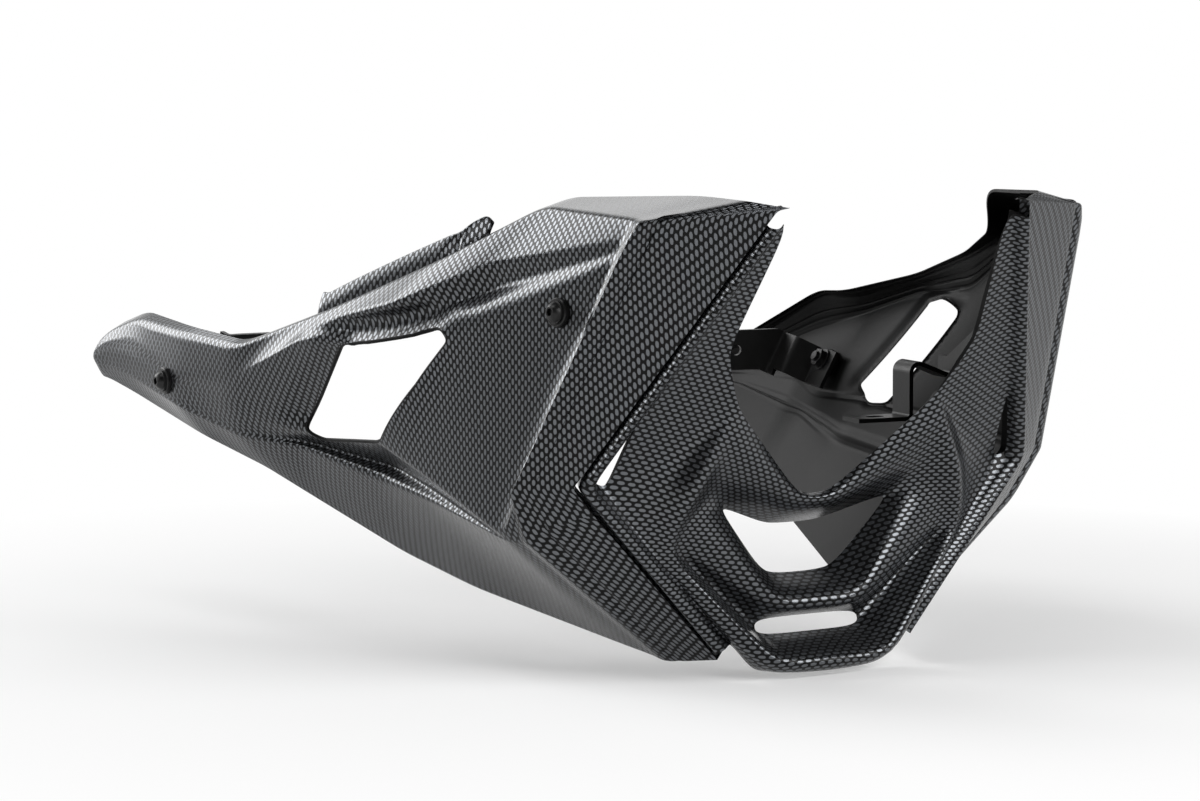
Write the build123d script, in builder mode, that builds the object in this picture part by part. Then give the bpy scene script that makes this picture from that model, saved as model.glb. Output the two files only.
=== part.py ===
"""Motorcycle belly pan: two moulded side panels, a mask-like front panel, four steel brackets and their fasteners.

Millimetres. +Y points to the rear of the bike, +X to its left, +Z up. The lowest point of the front panel is at
z = 0, and x = 0 is the middle plane. Points are written for the left half, as (half width, along, height).
"""

import os
from typing import NamedTuple

from build123d import *

# Main sizes, and the sizes at which the points below are drawn
width = 416.0
length = 557.0
height = 267.0
drawn_width = 416.0
drawn_length = 557.0
drawn_height = 267.0

# Moulded panels
wall = 3.0
seam_gap = 1.2

# Side panel forms
flange_rise = 0.2
ridge_share = 0.45
groove_share = 0.75
pocket_share = 0.5
window_radius = 7.0
lip_wall = 2.5
lip_lean = 0.35

# Front panel forms
rim_depth = 13.0
rim_width = 9.0
rim_crown = 2.0
rim_valley = 5.0
steepest_lean = 0.6

# Screw stack through a side panel and its bracket
screw_radius = 3.0
screw_clearance = 0.3
head_radius = 5.4
head_height = 3.2
socket_across_flats = 4.0
socket_depth = 1.9
cup_radius = 7.8
cup_rim_height = 2.0
cup_step_radius = 6.4
cup_height = 3.2
cup_chamfer = 0.5
crown_share = 0.7
pad_radius = 8.2
pad_proud = 0.5
pad_inner = 2.5
nut_across_flats = 10.0
nut_height = 5.2
nut_flange_radius = 6.8
nut_flange_height = 1.2
screw_end = 2.0

# Brackets, bent from steel strip
strip_thickness = 2.5
strip_width = 20.0
bend_radius = 4.0
slot_length = 12.0
slot_width = 6.5
slot_reach = 20.0
leaf_bend = 8.6
flange_radius = 9.0
leaf_start = 8.3
leaf_top = 2.0
leaf_neck = 6.0
root_rearward = 88.0
root_down = 36.0
root_up = 14.0
plate_foot = 8.0
run_reach = 30.0
run_rise = 12.0
leg_drop = 34.0
tab_reach = 36.0
rear_width = 24.0
rear_hole_radius = 3.25
rear_hole_reach = 22.0
rear_bends = [(-12, 0), (11, 0), (19, 14), (36, 16), (36, 23)]
rise_start = (27, 15)
right_lift = 5.0
left_lift = -5.0
right_tab_rise = 20.0
left_tab_rise = 4.0

# Seam screws, from the inside through the front panel's tongues into bosses on the side panels
boss_radius = 5.5
boss_height = 5.0
seam_screw_radius = 2.0
seam_clearance = 0.15
seam_head_radius = 4.0
seam_head_height = 2.6
seam_screw_length = 8.0
seam_head_chamfer = 0.8
seam_washer_radius = 5.2
seam_washer_height = 1.0
tongue_thickness = 2.5
tongue_half_width = 7.0


class Station(NamedTuple):
    """A cross section of a side panel: its feature points, its flange width and how deep its face is pressed in."""

    fold: tuple
    shoulder: tuple
    waist: tuple
    sill: tuple
    hem: tuple
    flange: float
    groove: float = 0.0
    pocket: float = 0.0


# Stations that both side panels share
front_edge = Station((85, -277, 262), (92, -268, 247), (155, -188, 111), (140, -187, 95), (62, -191, 11), 6)
crease = Station((148, -247, 257), (152, -238, 240), (180, -172, 111), (163, -164, 82), (76, -166, 8), 54)

# Right side panel, behind the crease
right_stations = [
    Station((150, -153, 261), (181, -114, 196), (178, -66, 122), (165, -62, 90), (122, -40, 38), 26, 5, 6),
    Station((175, -86, 229), (203, -50, 186), (180, -6, 126), (166, 0, 100), (138, 12, 54), 14, 6, 8),
    Station((195, -4, 198), (207, 10, 178), (182, 50, 125), (178, 60, 115), (162, 75, 82), 10),
    Station((208, 84, 170), (209, 95, 145), (200, 103, 131), (190, 110, 118), (176, 105, 97), 8),
    Station((206, 154, 173), (208, 157, 150), (206, 159, 140), (204, 160, 130), (193, 150, 113), 8),
    Station((199, 222, 177), (201, 224, 166), (202, 226, 155), (200, 228, 143), (197, 226, 132), 8),
    Station((198, 258, 167), (200, 258, 161), (200, 259, 154), (199, 259, 147), (197, 258, 138), 7),
    Station((198, 275, 158), (199, 276, 154), (199, 277, 149), (198, 277, 144), (196, 275, 139), 7),
]

# Left side panel, behind the crease: a lower top edge, and a short plain tail
left_stations = [
    Station((150, -192, 258), (160, -190, 228), (180, -140, 114), (164, -130, 84), (90, -120, 18), 34),
    Station((154, -172, 236), (163, -170, 222), (180, -125, 116), (165, -118, 85), (98, -105, 22), 16),
    Station((164, -130, 222), (181, -114, 196), (178, -66, 122), (165, -62, 90), (122, -40, 38), 12, 4, 6),
    Station((178, -62, 205), (203, -50, 186), (180, -6, 126), (166, 0, 100), (138, 12, 54), 12, 2, 8),
    Station((194, 20, 189), (206, 24, 176), (184, 50, 125), (178, 60, 115), (162, 75, 82), 10),
    Station((196, 58, 187), (206, 66, 164), (196, 82, 133), (186, 92, 115), (170, 92, 90), 9),
    Station((194, 146, 148), (199, 147, 139), (197, 148, 131), (194, 148, 123), (188, 146, 114), 8),
    Station((191, 182, 138), (194, 183, 134), (194, 184, 128), (193, 184, 122), (189, 182, 117), 7),
]

# Window through each side panel, as (along, height)
window_corners = [(-114, 197), (-52, 185), (50, 121), (-28, 125)]

# Lip on the right panel's flange edge: the stations around it, its share of the way between them, and its rise
lip_places = [
    (right_stations[0], right_stations[1], 0.9, 5),
    (right_stations[0], right_stations[1], 0.97, 14),
    (right_stations[1], right_stations[2], 0.5, 13),
    (right_stations[2], right_stations[3], 0.0, 11),
    (right_stations[2], right_stations[3], 0.4, 6),
]

# Front panel feature points: arm, ridge and groove, then the three cross bars from the side to the middle
front_points = {
    "arm_tip": (74, -269, 250),
    "arm_corner": (85, -232, 184),
    "elbow": (68, -218, 152),
    "slit_low": (132, -186, 108),
    "arm_foot": (108, -196, 117),
    "groove_top": (75, -214, 149),
    "groove_middle": (101, -201, 110),
    "groove_end": (111, -190, 78),
    "ridge_top": (71, -220, 149),
    "ridge_middle": (90, -217, 108),
    "ridge_end": (102, -201, 75),
    "vee_top_corner": (10, -195, 99),
    "vee_top_middle": (0, -195, 99),
    "vee_low_end": (75, -206, 117),
    "vee_low_corner": (15, -193, 88),
    "vee_low_middle": (0, -193, 88),
    "vee_under_end": (60, -188, 96),
    "vee_under_corner": (17, -174, 81),
    "vee_under_middle": (0, -174, 81),
    "mid_crest_end": (75, -197, 106),
    "mid_crest_corner": (29, -201, 44),
    "mid_crest_middle": (0, -202, 44),
    "mid_rear_corner": (23, -180, 54),
    "mid_rear_middle": (0, -180, 54),
    "mid_low_end": (97, -195, 79),
    "mid_low_corner": (28, -200, 34),
    "mid_low_middle": (0, -200, 34),
    "slot_end": (88, -186, 73),
    "slot_top_corner": (38, -188, 31),
    "slot_top_middle": (0, -188, 31),
    "slot_low_corner": (38, -190, 22),
    "slot_low_middle": (0, -190, 22),
    "chin_crest_corner": (37, -220, 10),
    "chin_crest_middle": (0, -221, 10),
    "chin_low_corner": (47, -210, 1),
    "chin_low_middle": (0, -213, 0),
    "chin_under_corner": (44, -199, 3),
    "chin_under_middle": (0, -201, 2),
}

# Shares of the way down the side panel's front edge at which the rim is set out
rim_upper_shares = {"tip": 0.06, "slit": 0.76, "bend": 1.0}
rim_lower_shares = {"low": 0.29, "foot": 0.94}

# Facets of the front panel's left half, each turned to face out
front_facets = [
    "arm_tip arm_corner slit_top rim_tip_valley",
    "arm_corner arm_foot slit_low slit_top",
    "arm_corner elbow groove_top arm_foot",
    "elbow ridge_top groove_top",
    "groove_top groove_middle arm_foot",
    "arm_foot groove_middle groove_end slit_low",
    "slit_low groove_end rim_low_valley rim_bend_valley",
    "ridge_top ridge_middle groove_middle groove_top",
    "ridge_middle ridge_end groove_end groove_middle",
    "elbow vee_low_end ridge_middle ridge_top",
    "vee_top_corner vee_low_corner vee_low_end elbow",
    "vee_top_middle vee_low_middle vee_low_corner vee_top_corner",
    "vee_low_corner vee_under_corner vee_under_end vee_low_end",
    "vee_low_middle vee_under_middle vee_under_corner vee_low_corner",
    "vee_low_end mid_crest_end ridge_middle",
    "vee_low_end vee_under_end mid_crest_end",
    "mid_rear_corner mid_crest_corner mid_crest_end vee_under_end",
    "mid_rear_middle mid_crest_middle mid_crest_corner mid_rear_corner",
    "mid_crest_corner mid_low_corner mid_low_end mid_crest_end",
    "mid_crest_middle mid_low_middle mid_low_corner mid_crest_corner",
    "mid_crest_end mid_low_end ridge_end ridge_middle",
    "mid_low_corner slot_top_corner slot_end mid_low_end",
    "mid_low_middle slot_top_middle slot_top_corner mid_low_corner",
    "mid_low_end slot_end ridge_end",
    "slot_top_corner slot_low_corner slot_end",
    "slot_low_corner chin_crest_corner ridge_end slot_end",
    "slot_low_middle chin_crest_middle chin_crest_corner slot_low_corner",
    "chin_crest_corner chin_low_corner groove_end ridge_end",
    "chin_low_corner rim_foot_valley rim_low_valley groove_end",
    "chin_crest_middle chin_low_middle chin_low_corner chin_crest_corner",
    "chin_low_middle chin_under_middle chin_under_corner chin_low_corner",
    "chin_low_corner chin_under_corner rim_foot_valley",
]


def spot(across, along, up):
    """A drawn point at the main sizes."""
    return Vector(across * width / drawn_width, along * length / drawn_length, up * height / drawn_height)


def between(start, end, share):
    """The point at a share of the way between two points."""
    return start + (end - start) * share


def panel_rows(station):
    """Outer points of one side panel section, in one plane, from the flange's inner edge down to the hem."""
    fold, shoulder, waist, sill, hem = (spot(*point) for point in station[:5])
    plane = Plane(fold, x_dir=hem - fold, z_dir=(waist - fold).cross(hem - fold))
    inward = Vector(-plane.z_dir.Y, plane.z_dir.X).normalized()
    if inward.X > 0:
        inward = -inward
    flange_edge = fold + inward * station.flange
    ridge = between(fold, shoulder, ridge_share)
    groove = between(fold, shoulder, groove_share) + inward * station.groove
    pocket = between(waist, sill, pocket_share) + inward * station.pocket
    rows = [flange_edge, fold, ridge, groove, shoulder, waist, pocket, sill, hem]
    rows = [row - plane.z_dir * (row - fold).dot(plane.z_dir) for row in rows]
    lift = plane.z_dir.cross(inward)
    if lift.Z < 0:
        lift = -lift
    rows[0] += lift * (station.flange * flange_rise)
    return rows


def seat(front, rear, along, down):
    """Plane on the face between two pairs of upper and lower points: x to the rear, z outwards."""
    upper = between(front[0], rear[0], along)
    lower = between(front[1], rear[1], along)
    rearward = between(rear[0], rear[1], down) - between(front[0], front[1], down)
    outward = rearward.cross(upper - lower)
    return Plane(between(upper, lower, down), x_dir=rearward, z_dir=outward)


def main_face(station):
    """Upper and lower edge of a station's main face."""
    rows = panel_rows(station)
    return rows[4], rows[5]


def belly_face(station):
    """Upper and lower edge of a station's belly."""
    rows = panel_rows(station)
    return rows[5], rows[8]


def reach_forward(place, down):
    """Distance from a seam seat to the side panel's front edge."""
    return (place.origin - between(*main_face(front_edge), down)).length


def patch(ring):
    """Face on three corners, or straight-ruled across four."""
    if len(ring) == 3:
        return Face(Wire.make_polygon(ring))
    return Face.make_surface_from_curves(Edge.make_line(ring[0], ring[1]), Edge.make_line(ring[3], ring[2]))


def shell(points, facets, thickness):
    """Moulded shell over a net of facets, with the wall behind it."""
    corners = {facet: [points[name] for name in facet] for facet in facets}
    outward = {}
    for facet, ring in corners.items():
        turns = [(b - a).cross(c - a) for a, b, c in zip(ring[:1] * len(ring), ring[1:], ring[2:])]
        outward[facet] = sum(turns, Vector()).normalized()
    inner = {}
    for name, point in points.items():
        around = [outward[facet] for facet in facets if name in facet]
        mean = sum(around, Vector()).normalized()
        lean = min(mean.dot(normal) for normal in around)
        inner[name] = point - mean * (thickness / max(lean, steepest_lean))
    edges = [pair for facet in facets for pair in zip(facet, facet[1:] + facet[:1])]
    rims = [pair for pair in edges if pair[::-1] not in edges]
    faces = [patch(ring) for ring in corners.values()]
    faces += [patch([inner[name] for name in facet[::-1]]) for facet in facets]
    faces += [patch([points[end], points[start], inner[start], inner[end]]) for start, end in rims]
    return Solid(Shell(faces))


def grid_shell(sections, thickness):
    """Moulded shell over sections with the same number of outer points each."""
    points = {(i, j): point for i, section in enumerate(sections) for j, point in enumerate(section)}
    cells = [(i, j) for i, j in points if (i + 1, j + 1) in points]
    facets = [((i, j), (i, j + 1), (i + 1, j + 1), (i + 1, j)) for i, j in cells]
    return shell(points, facets, thickness)


def lip():
    """Raised lip along the inner edge of the right panel's flange."""
    sections = []
    for front, rear, share, rise in lip_places:
        ahead = panel_rows(front)
        behind = panel_rows(rear)
        edge = between(ahead[0], behind[0], share)
        fold = between(ahead[1], behind[1], share)
        root = edge + (fold - edge).normalized() * lip_wall - Vector(0, 0, wall / 2)
        sections.append([edge + Vector(lip_wall - rise * lip_lean, 0, rise), root])
    return grid_shell(sections, lip_wall)


def rim_points(name, edges, share):
    """Channel section of the front panel's rim at one share of the way down the side panel's front edge."""
    front, rear = edges
    edge = between(*front, share)
    forward = (edge - between(*rear, share)).normalized()
    outward = seat(front, rear, 0, share).z_dir
    start = edge + forward * seam_gap
    end = edge + forward * (seam_gap + rim_width)
    return {
        f"rim_{name}_heel": start - outward * rim_depth,
        f"rim_{name}_edge": start,
        f"rim_{name}_crown": edge + forward * (seam_gap + rim_width / 2) + outward * rim_crown,
        f"rim_{name}_lip": end,
        f"rim_{name}_valley": end - outward * rim_valley,
    }


front_seat = seat(main_face(crease), main_face(right_stations[0]), 0.3, 0.19)
right_rear_seat = seat(main_face(right_stations[4]), main_face(right_stations[5]), 0.2, 0.9)
left_rear_seat = seat(main_face(left_stations[4]), main_face(left_stations[5]), 0.05, 0.65)
seam_downs = [0.25, 0.72]
seam_along = 0.4
seam_seats = [seat(main_face(front_edge), main_face(crease), seam_along, down) for down in seam_downs]


def pads_and_holes(places):
    """Flat pads for the screw stacks, and their clearance holes, as two parts."""
    with BuildPart() as pads:
        for place in places:
            with BuildSketch(place.offset(-wall - pad_inner)):
                Circle(pad_radius)
            extrude(amount=pad_inner + wall + pad_proud)
    with BuildPart() as holes:
        for place in places:
            with BuildSketch(place.offset(-wall - pad_inner - wall)):
                Circle(screw_radius + screw_clearance)
            extrude(amount=pad_inner + wall * 2 + pad_proud * 2)
    return pads.part, holes.part


def bosses_and_pilots():
    """Seam screw bosses behind the band, and their pilot holes, as two parts."""
    with BuildPart() as bosses:
        for place in seam_seats:
            with BuildSketch(place.offset(-wall / 2)):
                Circle(boss_radius)
            extrude(amount=-boss_height - wall / 2)
    with BuildPart() as pilots:
        for place in seam_seats:
            with BuildSketch(place.offset(-wall - boss_height)):
                Circle(seam_screw_radius + seam_clearance)
            extrude(amount=boss_height)
    return bosses.part, pilots.part


window_outline = [(spot(0, *corner).Y, spot(0, *corner).Z) for corner in window_corners]
with BuildPart() as window:
    with BuildSketch(Plane.YZ.offset(wall)):
        with BuildLine():
            FilletPolyline(*window_outline, radius=window_radius, close=True)
        make_face()
    extrude(amount=width)

seam_bosses, seam_pilots = bosses_and_pilots()
right_pads, right_holes = pads_and_holes([front_seat, right_rear_seat])
left_pads, left_holes = pads_and_holes([front_seat, left_rear_seat])

with BuildPart() as right_side_panel:
    add(grid_shell([panel_rows(station) for station in [front_edge, crease, *right_stations]], wall))
    add(lip())
    add(right_pads)
    add(seam_bosses)
    add(window.part, mode=Mode.SUBTRACT)
    add(right_holes, mode=Mode.SUBTRACT)
    add(seam_pilots, mode=Mode.SUBTRACT)
    mirror(about=Plane.YZ, mode=Mode.REPLACE)

with BuildPart() as left_side_panel:
    add(grid_shell([panel_rows(station) for station in [front_edge, crease, *left_stations]], wall))
    add(left_pads)
    add(seam_bosses)
    add(window.part, mode=Mode.SUBTRACT)
    add(left_holes, mode=Mode.SUBTRACT)
    add(seam_pilots, mode=Mode.SUBTRACT)

upper_edges = (panel_rows(front_edge)[1::4], panel_rows(crease)[1::4])
lower_edges = (belly_face(front_edge), belly_face(crease))
net = {name: spot(*point) for name, point in front_points.items()}
for name, share in rim_upper_shares.items():
    net |= rim_points(name, upper_edges, share)
for name, share in rim_lower_shares.items():
    net |= rim_points(name, lower_edges, share)
net["slit_top"] = net.pop("rim_slit_valley")

facets = [tuple(facet.split()) for facet in front_facets]
rim_stations = [*rim_upper_shares, *rim_lower_shares]
rim_rows = ["heel", "edge", "crown", "lip", "valley"]
for upper, lower in zip(rim_stations, rim_stations[1:]):
    for outer, inner in zip(rim_rows, rim_rows[1:]):
        ring = [f"rim_{upper}_{outer}", f"rim_{upper}_{inner}", f"rim_{lower}_{inner}", f"rim_{lower}_{outer}"]
        facets.append(tuple("slit_top" if name == "rim_slit_valley" else name for name in ring))
mirrored = {}
for name, point in list(net.items()):
    twin = name if point.X == 0 else name + "_right"
    mirrored[name] = twin
    net[twin] = Vector(-point.X, point.Y, point.Z)
facets += [tuple(mirrored[name] for name in facet[::-1]) for facet in facets]

with BuildPart() as tongues:
    for place, down in zip(seam_seats, seam_downs):
        front_reach = reach_forward(place, down) + seam_gap + wall / 2
        rear_reach = boss_radius + seam_gap
        with BuildSketch(place.offset(-wall - boss_height)):
            with Locations(((rear_reach - front_reach) / 2, 0)):
                Rectangle(front_reach + rear_reach, tongue_half_width * 2)
            Circle(seam_screw_radius + seam_clearance, mode=Mode.SUBTRACT)
        extrude(amount=-tongue_thickness)

with BuildPart() as front_panel:
    add(shell(net, facets, wall))
    add(tongues.part)
    add(mirror(tongues.part, about=Plane.YZ, mode=Mode.PRIVATE))


def button_screw():
    """Button-head screw with a hexagon socket, seated at z = 0, its shank downwards."""
    length = cup_height + pad_proud + wall + pad_inner + strip_thickness + nut_height + screw_end
    with BuildPart() as made:
        with BuildSketch(Plane.XZ):
            with BuildLine():
                crown = Line((0, head_height), (socket_across_flats * crown_share, head_height))
                dome = RadiusArc(crown @ 1, (head_radius, 0), head_radius)
                Polyline(dome @ 1, (screw_radius, 0), (screw_radius, -length), (0, -length), crown @ 0)
            make_face()
        revolve(axis=Axis.Z)
        with BuildSketch(Plane.XY.offset(head_height)):
            RegularPolygon(socket_across_flats / 2, 6, major_radius=False)
        extrude(amount=-socket_depth, mode=Mode.SUBTRACT)
    return made.part


def cup_washer():
    """Stepped washer with its base at z = 0."""
    bore = screw_radius + screw_clearance
    with BuildPart() as made:
        with BuildSketch(Plane.XZ):
            Polygon(
                (bore, 0),
                (cup_radius, 0),
                (cup_radius, cup_rim_height - cup_chamfer),
                (cup_radius - cup_chamfer, cup_rim_height),
                (cup_step_radius, cup_rim_height),
                (cup_step_radius, cup_height),
                (bore, cup_height),
                align=None,
            )
        revolve(axis=Axis.Z)
    return made.part


def flange_nut():
    """Flanged hexagon nut, seated at z = 0, its body downwards."""
    with BuildPart() as made:
        with BuildSketch():
            Circle(nut_flange_radius)
        extrude(amount=-nut_flange_height)
        with BuildSketch():
            RegularPolygon(nut_across_flats / 2, 6, major_radius=False)
        extrude(amount=-nut_height)
        with BuildSketch():
            Circle(screw_radius + screw_clearance)
        extrude(amount=-nut_height, mode=Mode.SUBTRACT)
    return made.part


def seam_screw():
    """Pan-head screw, seated at z = 0, its shank upwards."""
    with BuildPart() as made:
        with BuildSketch():
            Circle(seam_head_radius)
        extrude(amount=-seam_head_height)
        chamfer(made.faces().sort_by(Axis.Z)[0].edges(), seam_head_chamfer)
        with BuildSketch():
            Circle(seam_screw_radius)
        extrude(amount=seam_screw_length)
    return made.part


def seam_washer():
    """Flat washer with its top at z = 0."""
    with BuildPart() as made:
        with BuildSketch():
            Circle(seam_washer_radius)
            Circle(seam_screw_radius + seam_clearance, mode=Mode.SUBTRACT)
        extrude(amount=-seam_washer_height)
    return made.part


def fasteners(shape, left_places, right_places, lift):
    """One fastener at each place, those of the right panel mirrored, lifted along the place's outward axis."""
    left = [place.offset(lift).location * shape for place in left_places]
    right = [mirror(place.offset(lift).location * shape, about=Plane.YZ) for place in right_places]
    return Compound(children=left + right)


def bent_strip(profile, bends, width, side):
    """Steel strip bent along a line of corners in a plane, its width along the plane's normal."""
    with BuildPart() as made:
        with BuildSketch(profile):
            with BuildLine():
                FilletPolyline(*bends, radius=bend_radius)
                offset(amount=strip_thickness, side=side)
            make_face()
        extrude(amount=width)
    return made.part


def front_bracket():
    """Plate on the front pad, bent to follow the wall, folded inwards at its foot to a leg and a slotted tab."""
    base = front_seat.offset(-wall - pad_inner)
    half = strip_width / 2
    leaf = Plane(base.from_local_coords(Vector(leaf_start, 0)), x_dir=base.x_dir, z_dir=base.z_dir)
    leaf = leaf.rotated((0, leaf_bend, 0))
    outward = Vector(leaf.z_dir.X, leaf.z_dir.Y).normalized()
    rearward = Vector(0, 0, 1).cross(outward)
    slope = -leaf.z_dir.Z / leaf.z_dir.dot(outward)
    root = leaf.from_local_coords(Vector(root_rearward, -root_down))
    foot = root + (outward * slope + Vector(0, 0, 1)) * plate_foot
    foot_front = leaf.to_local_coords(foot - rearward * half)
    foot_rear = leaf.to_local_coords(foot + rearward * half)
    profile = Plane(root + rearward * half, x_dir=outward, z_dir=-rearward)
    tab_level = run_rise - leg_drop
    slot_centre = root - outward * (run_reach + slot_reach) + Vector(0, 0, tab_level)
    bends = [
        (slope * root_up, root_up),
        (0, 0),
        (-run_reach, run_rise),
        (-run_reach, tab_level),
        (-run_reach - tab_reach, tab_level),
    ]
    with BuildPart() as made:
        with BuildSketch(base):
            Circle(flange_radius)
        extrude(amount=-strip_thickness)
        with BuildSketch(leaf):
            Polygon(
                (0, leaf_top),
                (0, leaf_top - leaf_neck),
                (foot_front.X, foot_front.Y),
                (foot_rear.X, foot_rear.Y),
                align=None,
            )
        extrude(amount=-strip_thickness)
        add(bent_strip(profile, bends, strip_width, Side.RIGHT))
        with BuildSketch(base):
            Circle(screw_radius + screw_clearance)
        extrude(amount=-strip_thickness, mode=Mode.SUBTRACT)
        with BuildSketch(Plane(slot_centre)):
            SlotOverall(slot_length, slot_width)
        extrude(amount=strip_thickness, mode=Mode.SUBTRACT)
    return made.part


def rear_bracket(place, turn, lift, rise):
    """Joggled strip on a rear pad, folded inwards to a level tab with a hole; it runs to the rear (1) or front (-1)."""
    base = place.offset(-wall - pad_inner)
    across = base.y_dir * turn
    corner = base.origin + base.y_dir * lift - across * (rear_width / 2)
    profile = Plane(corner, x_dir=base.x_dir * turn, z_dir=across)
    tall = profile.offset(-rise)
    fold_along, fold_deep = rear_bends[-1]
    level = Vector(0, 0, 1).cross(base.x_dir).normalized() * tab_reach
    first = tall.from_local_coords(Vector(fold_along, fold_deep))
    last = profile.from_local_coords(Vector(fold_along, fold_deep, rear_width))
    tab = Plane(between(first, last, 0.5), x_dir=level, z_dir=profile.x_dir)
    corners = [tab.to_local_coords(point) for point in (first, last, last + level, first + level)]
    with BuildPart() as made:
        add(bent_strip(profile, rear_bends, rear_width, Side.LEFT))
        add(bent_strip(tall, [rise_start, *rear_bends[3:]], rise + strip_thickness, Side.LEFT))
        with BuildSketch(tab):
            Polygon(*[(point.X, point.Y) for point in corners], align=None)
            with Locations((rear_hole_reach, 0)):
                Circle(rear_hole_radius, mode=Mode.SUBTRACT)
        extrude(amount=-strip_thickness)
        with BuildSketch(base):
            Circle(screw_radius + screw_clearance)
        extrude(amount=-strip_thickness, mode=Mode.SUBTRACT)
    return made.part


left_places = [front_seat, left_rear_seat]
right_places = [front_seat, right_rear_seat]
head_lift = pad_proud + cup_height
nut_lift = -wall - pad_inner - strip_thickness
seam_lift = -wall - boss_height - tongue_thickness

pieces = {
    "right_side_panel": right_side_panel.part,
    "left_side_panel": left_side_panel.part,
    "front_panel": front_panel.part,
    "right_front_bracket": mirror(front_bracket(), about=Plane.YZ),
    "left_front_bracket": front_bracket(),
    "right_rear_bracket": mirror(rear_bracket(right_rear_seat, -1, right_lift, right_tab_rise), about=Plane.YZ),
    "left_rear_bracket": rear_bracket(left_rear_seat, 1, left_lift, left_tab_rise),
    "panel_screws": fasteners(button_screw(), left_places, right_places, head_lift),
    "cup_washers": fasteners(cup_washer(), left_places, right_places, pad_proud),
    "panel_nuts": fasteners(flange_nut(), left_places, right_places, nut_lift),
    "seam_screws": fasteners(seam_screw(), seam_seats, seam_seats, seam_lift - seam_washer_height),
    "seam_washers": fasteners(seam_washer(), seam_seats, seam_seats, seam_lift),
}
os.makedirs("parts", exist_ok=True)
for name, piece in pieces.items():
    piece.label = name
    export_step(piece, f"parts/{name}.step")
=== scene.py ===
import math

import bpy
import numpy as np
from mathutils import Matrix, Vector


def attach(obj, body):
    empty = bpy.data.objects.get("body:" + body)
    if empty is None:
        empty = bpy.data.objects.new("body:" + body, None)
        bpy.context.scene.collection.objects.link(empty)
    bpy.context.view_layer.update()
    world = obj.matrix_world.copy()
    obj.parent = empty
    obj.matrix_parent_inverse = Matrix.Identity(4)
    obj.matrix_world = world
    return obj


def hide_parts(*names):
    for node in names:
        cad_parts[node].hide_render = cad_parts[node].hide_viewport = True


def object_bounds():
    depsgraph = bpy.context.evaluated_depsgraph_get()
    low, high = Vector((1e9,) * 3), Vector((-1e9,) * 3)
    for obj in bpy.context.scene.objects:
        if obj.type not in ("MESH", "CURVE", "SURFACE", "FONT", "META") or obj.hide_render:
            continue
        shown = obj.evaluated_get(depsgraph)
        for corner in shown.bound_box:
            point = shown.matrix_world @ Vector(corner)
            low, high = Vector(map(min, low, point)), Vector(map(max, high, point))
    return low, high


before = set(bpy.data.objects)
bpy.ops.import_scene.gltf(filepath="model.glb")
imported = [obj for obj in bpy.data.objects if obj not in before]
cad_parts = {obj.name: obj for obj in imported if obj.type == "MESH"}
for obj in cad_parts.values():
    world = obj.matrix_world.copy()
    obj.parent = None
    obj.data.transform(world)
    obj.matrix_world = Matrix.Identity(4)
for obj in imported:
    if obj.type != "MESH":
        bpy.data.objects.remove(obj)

cad_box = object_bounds()

# The object's lengths are written in millimetres and scaled to metres when a mesh is made
MM = 0.001

# Keep divisors above nought
tiny = 1e-9
small = 1e-6

# Moulded panels: wall, rounding of its edges, spacing of the surface's points, gap at the seams
wall = 3.0
edge_round = 1.1
cell = 2.5
fine_cell = 1.2
seam_gap = 1.2

# Edges sharper than these angles are rounded, in this many steps
panel_edge_angle = 50
detail_edge_angle = 30
panel_edge_steps = 3
node_edge_steps = 2

# Rounding of the edges of the brackets and fasteners
bracket_edge = 0.5
fastener_edge = 0.25

# Numbers of some rows of a side panel, counted from the flange's inner edge
fold_row = 1
shoulder_row = 4
waist_row = 5
hem_row = 8

# Side panel forms
flange_rise = 0.2
ridge_share = 0.5
groove_share = 0.72
groove_deeper = 1.3
ridge_proud = 0.9
pocket_share = 0.78
crease_round = 5.0
station_round = 11.0
row_round = {
    "fold": 3.5, "ridge": 3.5, "groove": 5.0, "shoulder": 9.0, "waist": 2.0, "pocket": 2.5, "sill": 6.0,
}
bezier_steps = 6
end_round = 9.0
end_closing = 0.93

# Largest share of the stretch beside a bend that its rounding takes
station_limit = 0.48
row_limit = 0.45

# Window of a side panel, its turned edge, and the recess on its upper and rear side
window_radius = 6.0
window_scale = (0.6, 1.0)
window_turn = 1.5
window_turn_angles = (22.5, 45, 67.5, 90)
window_nudge = 0.05
recess_depth = 6.0
recess_width = 15.0
recess_side = (0.42, 0.91)

# Bead along the crease, with a groove ahead of it
crease_fine = 16.0
bead_height = 3.6
bead_place = 5.0
bead_width = 4.8
bead_groove = 2.6
bead_groove_place = -5.0
bead_groove_width = 2.2
bead_fade = (0.0, 0.6, 1.0, 1.0, 1.0, 1.0, 1.0, 0.8, 0.15)

# Front edge of a side panel, turned in behind the front panel's rim: depth, and share of the gap
turn_in = 6.0
turn_in_share = 0.8

# Inner edge of the right panel's flange: lift, shift, and share of the shift at numbered sections
flange_lift = 3.0
flange_shift = (0.0, 24.0, -4.0)
flange_shift_shares = {2: 0.25, 3: 1.0}

# Lip along that edge
lip_wall = 2.5
lip_lean = 0.35
lip_cell = 1.25
lip_steps = 9

# Front panel: its rim, and how its net of points is split and rounded
rim_depth = 13.0
rim_width = 9.5
rim_crown = 5.2
rim_valley = 6.5
net_levels = 4
front_round = 6.4
rim_round = 2.6
fairing_steps = 260
weight_limit = 20.0

# Bosses, pads and tongues that carry the screws
pad_radius = 8.2
pad_proud = 0.5
pad_inner = 2.5
boss_radius = 5.5
boss_height = 5.0
boss_steps = 40
tongue_thickness = 2.5
tongue_half_width = 7.0
seam_downs = [0.25, 0.72]
seam_along = 0.4

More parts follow.
